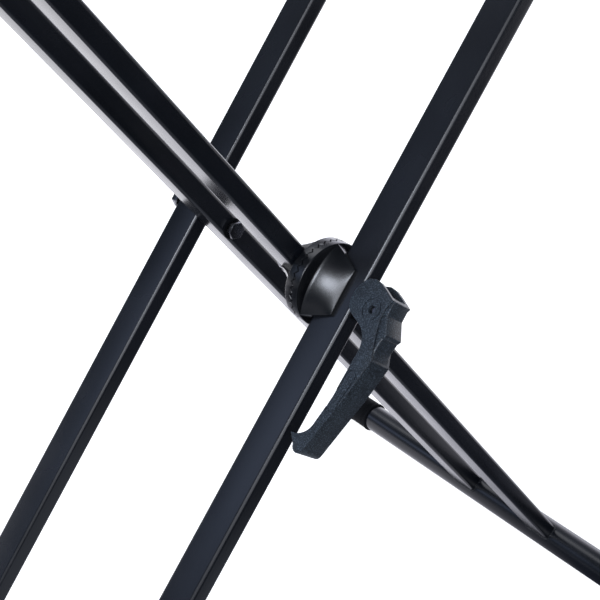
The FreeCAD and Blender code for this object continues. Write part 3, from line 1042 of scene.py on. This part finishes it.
# A strip light square to the outer legs draws the light line on their corners.
STRIP_TIGHTNESS = 24.0
STRIP_EDGE = (0.74, 0.86)
STRIP_STRENGTH = 4.0
STRIP_COLOUR = (0.93, 0.97, 1.06)
KEY_PLACE = Vector((-1.42, -0.46, 1.12))
KEY_SIZE = 0.56
KEY_POWER = 11.5
KEY_COLOUR = (0.9, 0.97, 1.1)
TOP_PLACE = Vector((0.1, 1.4, 2.1))
TOP_SIZE = 1.2
TOP_POWER = 5.0
FLOOR_HALF = 6.0
FLOOR_GLOW = 0.8
MIRROR_STRENGTH = 1.75
BOUNCE_STRENGTH = 0.6
STRIP_TOWARD = Vector((-0.62, -0.55, 0.5)).normalized()
CAMERA_PLACE = Vector((-503.81 * MM, -662.24 * MM, 870.62 * MM))
CAMERA_HEADING = math.radians(39.047)
CAMERA_DOWN = math.radians(29.447)
CAMERA_LENS = 72.12


def light(name, place, size, power, colour=(1.0, 1.0, 1.0)):
    """Round area lamp at a place from the pivot, turned toward the pivot."""
    lamp = bpy.data.lights.new(name, "AREA")
    lamp.shape = "ELLIPSE"
    lamp.size = size
    lamp.size_y = size
    lamp.energy = power
    lamp.color = colour
    holder = bpy.data.objects.new(name, lamp)
    bpy.context.scene.collection.objects.link(holder)
    holder.location = OUTER.pivot + place
    holder.rotation_euler = (OUTER.pivot - holder.location).to_track_quat("-Z", "Y").to_euler()


def studio_world():
    """White to the camera; to reflections a backdrop that darkens upward, soft panels and a strip."""
    world = bpy.data.worlds.new("studio")
    bpy.context.scene.world = world
    world.use_nodes = True
    s = Shades(world.node_tree)
    way = s.node("ShaderNodeTexCoord", output="Generated")
    up = s.node("ShaderNodeSeparateXYZ", inputs={0: way}, output="Z")
    haze = s.node("ShaderNodeValToRGB", {"stops": [
        (0.0, (0.55, 0.57, 0.65, 1)), (1.0, (0.04, 0.05, 0.06, 1)), (0.16, (0.06, 0.08, 0.11, 1))]},
        {"Fac": up})
    room = s.node("ShaderNodeBackground", inputs={"Color": haze, "Strength": 1.0})
    for toward, tightness, colour in SOFT_PANELS:
        facing = s.facing(way, Vector(toward).normalized())
        panel = s.node("ShaderNodeBackground", inputs={
            "Color": rgba(colour), "Strength": s.band(facing, 0.0, 1.0) ** tightness})
        room = s.node("ShaderNodeAddShader", inputs={0: room, 1: panel})
    beside = s.facing(way, OUTER.along)
    ahead = s.band(s.facing(way, STRIP_TOWARD), *STRIP_EDGE)
    strip = s.node("ShaderNodeBackground", inputs={
        "Color": rgba(STRIP_COLOUR),
        "Strength": (1.0 - beside * beside) ** STRIP_TIGHTNESS * ahead * STRIP_STRENGTH})
    room = s.node("ShaderNodeAddShader", inputs={0: room, 1: strip})
    seen = s.node("ShaderNodeLightPath", output="Is Camera Ray")
    white = s.node("ShaderNodeBackground", inputs={"Color": (1, 1, 1, 1), "Strength": 1.0})
    both = s.node("ShaderNodeMixShader", inputs={0: seen, 1: room, 2: white})
    s.node("ShaderNodeOutputWorld", inputs={"Surface": both})


def floor_material():
    """White paper to the camera, with a soft shadow; its near side is dark to reflections."""
    made = bpy.data.materials.new("studio_floor")
    made.use_nodes = True
    s = Shades(made.node_tree)
    spot = s.node("ShaderNodeTexCoord", output="Object")
    back = s.node("ShaderNodeSeparateXYZ", inputs={0: spot}, output="Y")
    across = s.node("ShaderNodeSeparateXYZ", inputs={0: spot}, output="X")
    seen = s.node("ShaderNodeLightPath", output="Is Camera Ray")
    far_side = s.band(back + across * 0.9, -0.5, 1.0)
    far_tone = s.node("ShaderNodeValToRGB", {"stops": [
        (0.0, (0.03, 0.035, 0.045, 1)), (1.0, (0.95, 0.95, 1.0, 1)), (0.45, (0.05, 0.055, 0.075, 1)),
        (0.6, (0.66, 0.66, 0.74, 1)), (0.8, (0.92, 0.92, 1.0, 1))]}, {"Fac": far_side})
    near_strip = s.band(back, -0.55, -0.25) * s.band(back, 0.5, 0.0) * s.band(across, 0.22, 0.04)
    tone = s.mix(near_strip, far_tone, (0.27, 0.29, 0.34, 1))
    tone = s.mix(s.band(far_side, 0.45, 0.6), tone, far_tone)
    mirror = s.node("ShaderNodeEmission", inputs={"Color": tone, "Strength": MIRROR_STRENGTH})
    grain = s.noise(30.0, 3.0)
    matt = s.node("ShaderNodeBsdfDiffuse", inputs={
        "Color": s.mix(grain, (0.80, 0.80, 0.80, 1), (0.82, 0.82, 0.82, 1))})
    glow = s.node("ShaderNodeEmission", inputs={"Color": (1, 1, 1, 1), "Strength": FLOOR_GLOW})
    plain = s.node("ShaderNodeAddShader", inputs={0: matt, 1: glow})
    bounce = s.node("ShaderNodeEmission", inputs={
        "Color": (0.8, 0.82, 0.86, 1), "Strength": BOUNCE_STRENGTH})
    scattered = s.node("ShaderNodeLightPath", output="Is Diffuse Ray")
    unseen = s.node("ShaderNodeMixShader", inputs={0: scattered, 1: mirror, 2: bounce})
    both = s.node("ShaderNodeMixShader", inputs={0: seen, 1: unseen, 2: plain})
    s.node("ShaderNodeOutputMaterial", inputs={"Surface": both})
    return made


class STAND_OT_studio(bpy.types.Operator):
    """Sets up the floor, the lights, the world and the camera"""
    bl_idname = "stand.studio"
    bl_label = "Studio"

    def execute(self, context):
        scene = context.scene
        corners = [(x * FLOOR_HALF, y * FLOOR_HALF, 0) for x, y in ((-1, -1), (1, -1), (1, 1), (-1, 1))]
        floor = bpy.data.objects.new("studio_floor", mesh_of(corners, [(0, 1, 2, 3)]))
        floor.data.materials.append(floor_material())
        scene.collection.objects.link(floor)
        light("key", KEY_PLACE, KEY_SIZE, KEY_POWER, KEY_COLOUR)
        light("top", TOP_PLACE, TOP_SIZE, TOP_POWER)
        studio_world()
        camera = bpy.data.cameras.new("camera")
        camera.lens = CAMERA_LENS
        camera.sensor_width = 36.0
        camera.clip_start = 0.01
        holder = bpy.data.objects.new("camera", camera)
        scene.collection.objects.link(holder)
        forward = Vector((math.sin(CAMERA_HEADING) * math.cos(CAMERA_DOWN),
                          math.cos(CAMERA_HEADING) * math.cos(CAMERA_DOWN), -math.sin(CAMERA_DOWN)))
        right = Vector((math.cos(CAMERA_HEADING), -math.sin(CAMERA_HEADING), 0))
        up = right.cross(forward)
        turn = Matrix((right, up, -forward)).transposed()
        holder.matrix_world = Matrix.Translation(CAMERA_PLACE) @ turn.to_4x4()
        scene.camera = holder
        scene.view_settings.view_transform = "Standard"
        return {"FINISHED"}


# ------------------------------------------------------------------ panel and start
class STAND_PT_panel(bpy.types.Panel):
    """Lists the stand's settings and its pieces"""
    bl_idname = "STAND_PT_panel"
    bl_label = "Folding stand"
    bl_space_type = "VIEW_3D"
    bl_region_type = "UI"
    bl_category = "Stand"

    def draw(self, context):
        layout = self.layout
        for group in (context.scene.stand_finish, context.scene.stand_sizes):
            for key in group.__annotations__:
                layout.prop(group, key)
        for step in STEPS:
            layout.operator(step.bl_idname)


STEPS = (STAND_OT_frames, STAND_OT_caps, STAND_OT_sleeves, STAND_OT_clutch, STAND_OT_lever,
         STAND_OT_fasteners, STAND_OT_studio)
CLASSES = (StandFinish, StandSizes) + STEPS + (STAND_PT_panel,)


def register():
    for made in CLASSES:
        bpy.utils.register_class(made)
    bpy.types.Scene.stand_finish = PointerProperty(type=StandFinish)
    bpy.types.Scene.stand_sizes = PointerProperty(type=StandSizes)


def unregister():
    del bpy.types.Scene.stand_finish
    del bpy.types.Scene.stand_sizes
    for made in reversed(CLASSES):
        bpy.utils.unregister_class(made)


def main():
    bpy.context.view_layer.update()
    register()
    for step in STEPS:
        group, name = step.bl_idname.split(".")
        getattr(getattr(bpy.ops, group), name)()


if __name__ == "__main__":
    main()
